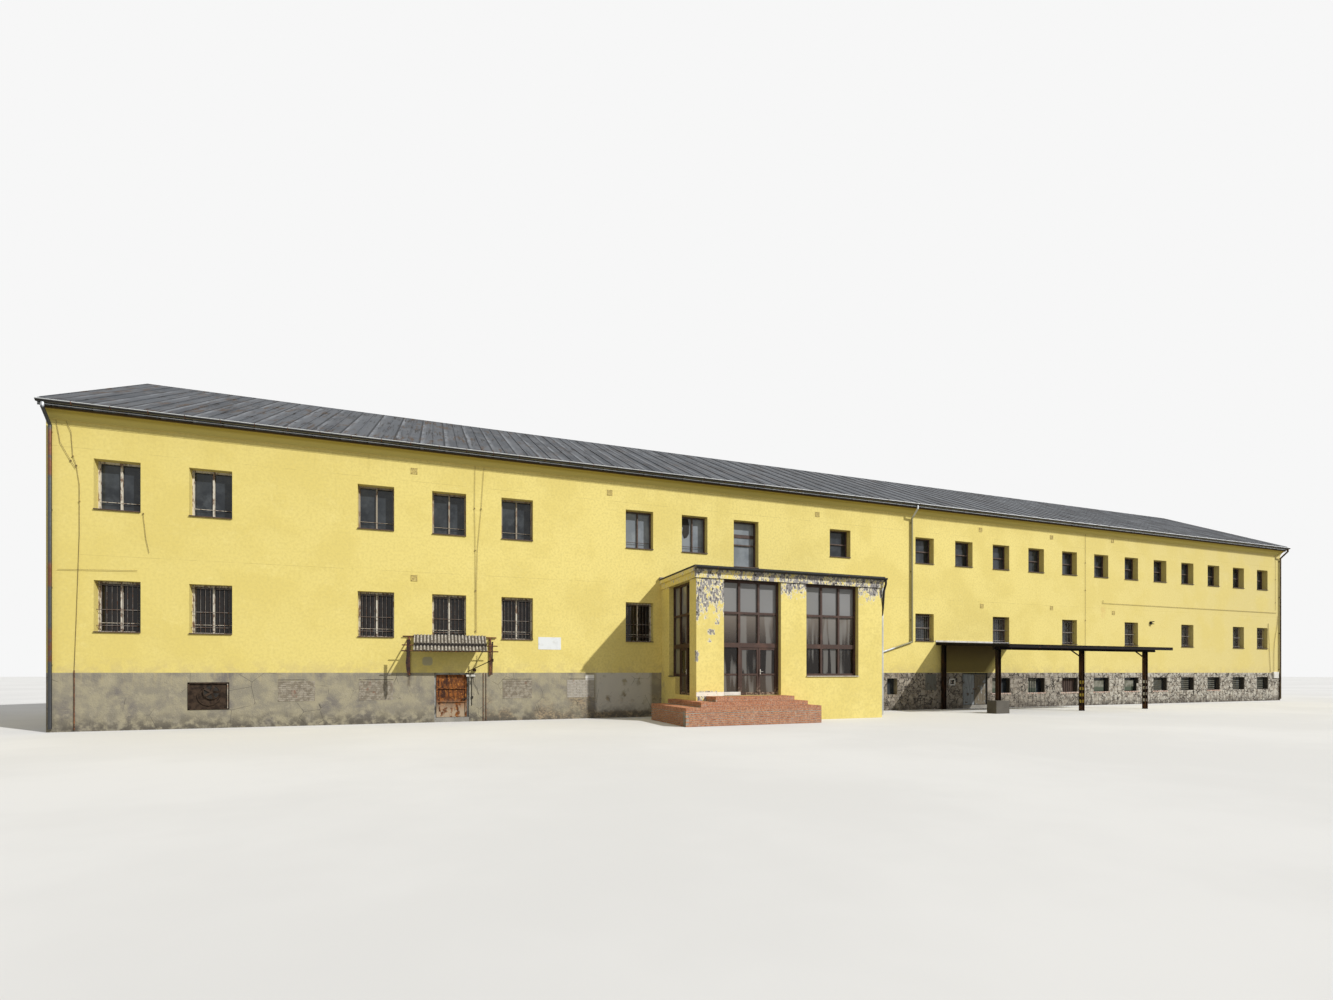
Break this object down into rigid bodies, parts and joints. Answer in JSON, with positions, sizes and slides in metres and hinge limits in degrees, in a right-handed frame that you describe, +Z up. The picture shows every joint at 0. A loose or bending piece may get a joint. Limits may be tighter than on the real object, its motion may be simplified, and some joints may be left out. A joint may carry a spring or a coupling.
{
  "type": "warehouse, 1:2 scale model",
  "caption": "Long two-storey rendered warehouse on a stone half basement, with a seamed metal gable roof, glazed porch, brick steps and two canopies, as a 1:2 scale model.",
  "frame": {"origin": "middle of the main block's footprint, at its lowest ground", "axes": "+X along the front from left to right, +Y from the front to the back, +Z up"},
  "size_m": [37.585, 11.8395, 8.1317],
  "materials": {
    "yellow_render": "lime render with flaking yellow masonry paint",
    "plinth_stone": "weathered grey rendered stone",
    "concrete": "bare cast concrete",
    "brick": "fired red brick",
    "roof_sheet": "weathered grey standing-seam sheet",
    "zinc_sheet": "bright zinc sheet",
    "dark_sheet": "dark roofing sheet",
    "brown_joinery": "brown painted softwood",
    "window_paint": "weathered cream paint on softwood",
    "window_glass": "clear sheet glass",
    "sill_sheet": "brown coated sheet",
    "sill_stone": "pale cast stone",
    "rusty_steel": "rusted rolled steel",
    "grey_paint": "peeling grey paint on steel",
    "fibre_cement": "weathered fibre cement",
    "white_plate": "white enamel"
  },
  "bodies": {
    "building": {"back_plinth": "plinth_stone", "back_roof_slope": "roof_sheet", "back_wall": "yellow_render", "back_window_frames": "window_paint", "back_window_glass": "window_glass", "basement_door_frames": "grey_paint", "basement_floor": "concrete", "basement_thresholds": "concrete", "brick_steps": "brick", "cellar_windows": "window_paint", "cornices": "yellow_render", "corrugated_canopy_frame": "rusty_steel", "corrugated_sheets": "fibre_cement", "downpipes": "zinc_sheet", "end_plinths": "plinth_stone", "fan_hatch": "rusty_steel", "front_plinth_left": "plinth_stone", "front_plinth_middle": "plinth_stone", "front_plinth_right": "plinth_stone", "front_roof_slope": "roof_sheet", "front_wall_left": "yellow_render", "front_wall_over_passage": "yellow_render", "front_wall_right": "yellow_render", "front_window_frames": "window_paint", "front_window_glass": "window_glass", "ground_floor": "concrete", "gutters": "zinc_sheet", "left_gable_wall": "yellow_render", "loading_beams": "rusty_steel", "loading_deck": "dark_sheet", "loading_posts": "rusty_steel", "porch_base": "concrete", "porch_beam": "yellow_render", "porch_door_frame": "brown_joinery", "porch_glass": "window_glass", "porch_parapets": "yellow_render", "porch_pillars": "yellow_render", "porch_roof": "dark_sheet", "porch_side_frame": "brown_joinery", "porch_sills": "sill_stone", "porch_window_frames": "brown_joinery", "post_footing": "concrete", "ridge_cap": "roof_sheet", "right_gable_wall": "yellow_render", "sign_plate": "white_plate", "upper_floor": "concrete", "window_sills": "sill_sheet"},
    "porch_left_leaf": {"porch_left_door": "brown_joinery", "porch_left_door_glass": "window_glass"},
    "porch_right_leaf": {"porch_right_door": "brown_joinery", "porch_right_door_glass": "window_glass"},
    "porch_side_leaf": {"porch_side_door": "brown_joinery", "porch_side_door_glass": "window_glass"},
    "iron_leaf": {"iron_door": "rusty_steel"},
    "twin_left_leaf": {"twin_left_door": "grey_paint"},
    "twin_right_leaf": {"twin_right_door": "grey_paint"}
  },
  "joints": [
    {"name": "porch_left_leaf_hinge", "type": "hinge", "parent": "building", "child": "porch_left_leaf", "pos_m": [-5.8795, -6.273, 0.575], "axis": [0, 0, 1], "range_deg": [0, 100]},
    {"name": "porch_right_leaf_hinge", "type": "hinge", "parent": "building", "child": "porch_right_leaf", "pos_m": [-4.9705, -6.273, 0.575], "axis": [0, 0, -1], "range_deg": [0, 100]},
    {"name": "porch_side_leaf_hinge", "type": "hinge", "parent": "building", "child": "porch_side_leaf", "pos_m": [-6.8305, -5.23967, 0.575], "axis": [0, 0, 1], "range_deg": [0, 95]},
    {"name": "iron_leaf_hinge", "type": "hinge", "parent": "building", "child": "iron_leaf", "pos_m": [-12.182, -4.217, 0.1], "axis": [0, 0, -1], "range_deg": [0, 100]},
    {"name": "twin_left_leaf_hinge", "type": "hinge", "parent": "building", "child": "twin_left_leaf", "pos_m": [2.668, -4.217, 0.1], "axis": [0, 0, -1], "range_deg": [0, 100]},
    {"name": "twin_right_leaf_hinge", "type": "hinge", "parent": "building", "child": "twin_right_leaf", "pos_m": [3.587, -4.217, 0.1], "axis": [0, 0, 1], "range_deg": [0, 100]}
  ]
}
